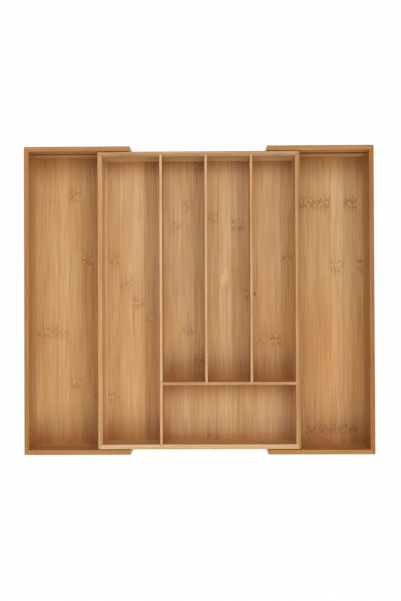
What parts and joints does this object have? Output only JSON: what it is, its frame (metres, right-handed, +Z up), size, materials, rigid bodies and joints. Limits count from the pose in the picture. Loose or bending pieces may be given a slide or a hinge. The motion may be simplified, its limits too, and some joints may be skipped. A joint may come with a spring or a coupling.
{
  "type": "expanding cutlery tray",
  "caption": "Expanding bamboo drawer tray for cutlery, with a divided centre tray and two side wings that slide out from under it.",
  "frame": {"origin": "on the plane that the tray stands on, under the middle of the open tray", "axes": "+X to the right, along the way the wings slide; +Y to the back, along the bays; +Z up"},
  "size_m": [0.5106, 0.45, 0.06],
  "materials": {
    "bamboo_centre_wall": "satin lacquer",
    "bamboo_wing_wall": "satin lacquer",
    "bamboo_floor": "satin lacquer",
    "bamboo_divider": "satin lacquer",
    "bamboo_runner": "plain"
  },
  "bodies": {
    "centre_tray": {"centre_left_wall": "bamboo_centre_wall", "centre_right_wall": "bamboo_centre_wall", "centre_back_wall": "bamboo_centre_wall", "centre_front_wall": "bamboo_centre_wall", "centre_floor": "bamboo_floor", "long_divider": "bamboo_divider", "cross_divider": "bamboo_divider", "left_short_divider": "bamboo_divider", "right_short_divider": "bamboo_divider", "back_left_runner": "bamboo_runner", "back_right_runner": "bamboo_runner", "front_left_runner": "bamboo_runner", "front_right_runner": "bamboo_runner"},
    "left_wing": {"left_wing_outer_wall": "bamboo_wing_wall", "left_wing_back_wall": "bamboo_wing_wall", "left_wing_front_wall": "bamboo_wing_wall", "left_wing_floor": "bamboo_floor"},
    "right_wing": {"right_wing_outer_wall": "bamboo_wing_wall", "right_wing_back_wall": "bamboo_wing_wall", "right_wing_front_wall": "bamboo_wing_wall", "right_wing_floor": "bamboo_floor"}
  },
  "joints": [
    {"name": "left_wing_slide", "type": "slide", "parent": "centre_tray", "child": "left_wing", "axis": [1, 0, 0], "range_m": [0, 0.0995]},
    {"name": "right_wing_slide", "type": "slide", "parent": "centre_tray", "child": "right_wing", "axis": [-1, 0, 0], "range_m": [0, 0.0995]}
  ]
}
